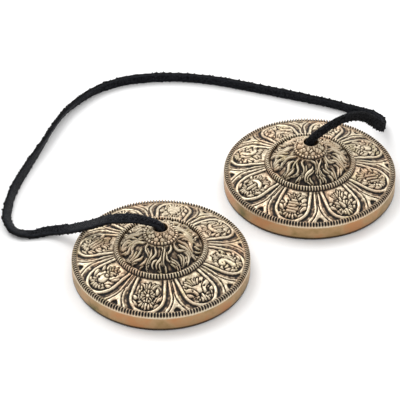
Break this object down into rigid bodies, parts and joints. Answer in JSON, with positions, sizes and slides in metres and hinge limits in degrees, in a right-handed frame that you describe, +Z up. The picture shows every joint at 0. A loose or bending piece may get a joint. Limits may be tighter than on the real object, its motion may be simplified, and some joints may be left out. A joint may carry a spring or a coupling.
{
  "type": "finger cymbals",
  "caption": "Pair of small thick bronze cymbals with a raised boss and chased petals, joined through their centre holes by a knotted black leather thong.",
  "frame": {"origin": "on the surface that the cymbals stand on, midway between their two holes", "axes": "+X from the front cymbal's hole to the rear cymbal's hole, +Z up along both hole axes, +Y towards the side where the thong lies"},
  "size_m": [0.1677, 0.1418, 0.0281],
  "materials": {
    "bronze": "cast and chased, dark patina in the recesses, polished edge",
    "leather": "black, smooth grain side, fuzzy cut edges"
  },
  "bodies": {
    "cord_front": {"leather_cord": "leather", "front_knot": "leather"},
    "front_disc": {"front_cymbal": "bronze"},
    "cord_rear": {"rear_knot": "leather"},
    "rear_disc": {"rear_cymbal": "bronze"}
  },
  "joints": [
    {"name": "front_spin", "type": "hinge", "parent": "cord_front", "child": "front_disc", "pos_m": [-0.0402, 0, 0], "axis": [0, 0, 1], "continuous": true},
    {"name": "cord_bend", "type": "hinge", "parent": "cord_front", "child": "cord_rear", "pos_m": [-0.0687, 0.057, 0.0015], "axis": [0, 0, 1], "range_deg": [-10.5, 88], "deforming": ["leather_cord"]},
    {"name": "rear_spin", "type": "hinge", "parent": "cord_rear", "child": "rear_disc", "pos_m": [0.0402, 0, 0], "axis": [0, 0, 1], "continuous": true}
  ]
}
